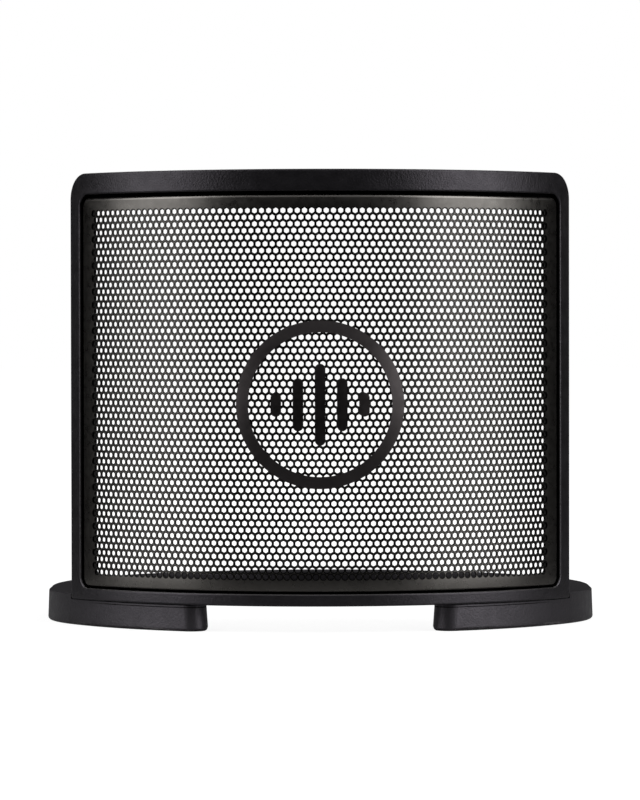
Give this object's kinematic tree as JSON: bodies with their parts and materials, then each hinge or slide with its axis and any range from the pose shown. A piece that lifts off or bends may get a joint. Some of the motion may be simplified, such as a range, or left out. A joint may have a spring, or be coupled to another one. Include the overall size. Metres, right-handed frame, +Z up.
{
  "type": "magnetic pop filter",
  "caption": "Arched perforated metal pop filter in a black frame, standing on a C-shaped magnetic base ring that clips to a microphone shock mount.",
  "frame": {"origin": "centre of the base ring's bore, on the plane of the ring's underside", "axes": "+Z up, -Y towards the talker, where the grille bulges, +X to the right as the talker sees it"},
  "size_m": [0.1192, 0.12, 0.0965],
  "materials": {
    "frame_black": "satin",
    "ring_black": "matte",
    "grille_black": "satin",
    "emblem_black": "satin",
    "tape_black": "matte",
    "screw_black": "satin",
    "insert_brass": "satin",
    "magnet_nickel": "satin"
  },
  "bodies": {
    "root": {"front_frame": "frame_black", "rear_frame": "frame_black", "grille": "grille_black", "grille_tape": "tape_black", "emblem_ring": "emblem_black", "emblem_bars": "emblem_black", "shell_screws": "screw_black", "heel_screws": "screw_black", "brass_inserts": "insert_brass", "ring_body": "ring_black", "ring_cover": "ring_black", "cover_screws": "screw_black", "magnet_front_left": "magnet_nickel", "magnet_front_right": "magnet_nickel", "magnet_rear_left": "magnet_nickel", "magnet_rear_right": "magnet_nickel"}
  },
  "joints": []
}
